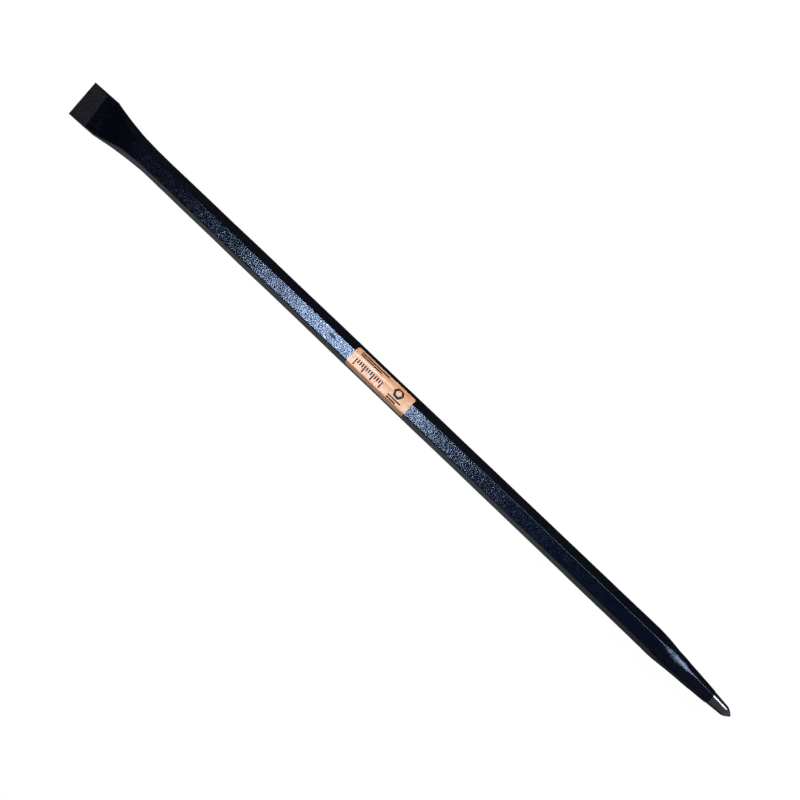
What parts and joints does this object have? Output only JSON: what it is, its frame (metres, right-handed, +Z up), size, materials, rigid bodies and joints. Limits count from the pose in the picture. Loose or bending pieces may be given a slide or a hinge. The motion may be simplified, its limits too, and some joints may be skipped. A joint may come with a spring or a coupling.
{
  "type": "digging bar",
  "caption": "Forged hexagonal steel digging bar with a flared chisel blade at one end, a ground point at the other, black paint and a wrapped label, for breaking and prying ground.",
  "frame": {"origin": "on the resting surface, under the middle of the bar's length and width", "axes": "+X along the bar from the chisel to the point, +Y across the blade, +Z up, out of the flat that carries the label"},
  "size_m": [0.965, 0.0466, 0.0259],
  "materials": {
    "ground_steel": "ground bare steel with fine grinding lines",
    "black_paint": "satin black enamel over forged steel",
    "label_film": "glossy printed orange film"
  },
  "bodies": {
    "root": {"steel_bar": "ground_steel", "paint_coat": "black_paint", "label": "label_film"}
  },
  "joints": []
}
